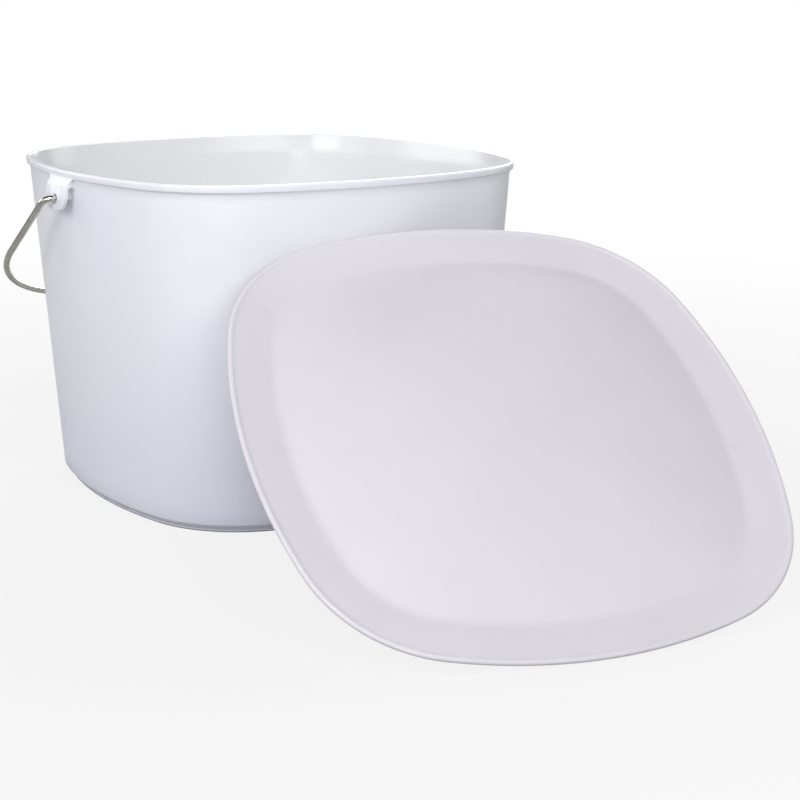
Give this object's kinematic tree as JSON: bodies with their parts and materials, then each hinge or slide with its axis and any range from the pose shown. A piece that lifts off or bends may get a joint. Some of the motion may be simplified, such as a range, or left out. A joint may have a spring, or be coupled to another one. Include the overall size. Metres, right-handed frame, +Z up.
{
  "type": "fermenting bucket",
  "caption": "Tapered rounded-square plastic bucket with moulded ears, a steel wire bail hanging behind it and a domed lid leaning on its front.",
  "frame": {"origin": "middle of the bucket's flat base", "axes": "+Z up through the bucket's mouth, +X along the bail's pivot axis towards one ear, -Y towards the side where the lid leans"},
  "size_m": [0.3262, 0.5589, 0.2195],
  "materials": {
    "bucket_plastic": "smooth injection-moulded polypropylene, satin white with a cool tint",
    "lid_plastic": "finely textured injection-moulded polypropylene, matte white",
    "steel_wire": "drawn galvanised wire, dulled zinc with fine lengthwise drawing marks"
  },
  "bodies": {
    "bucket": {"bucket": "bucket_plastic"},
    "bail": {"bail": "steel_wire"},
    "lid": {"lid": "lid_plastic"}
  },
  "joints": [
    {"name": "bail_swing", "type": "hinge", "parent": "bucket", "child": "bail", "pos_m": [0, 0, 0.2015], "axis": [1, 0, 0], "range_deg": [0, 205]},
    {"name": "lid_lift", "type": "slide", "parent": "bucket", "child": "lid", "axis": [-0.1345, -0.578, 0.8049], "range_m": [0, 0.3]}
  ]
}
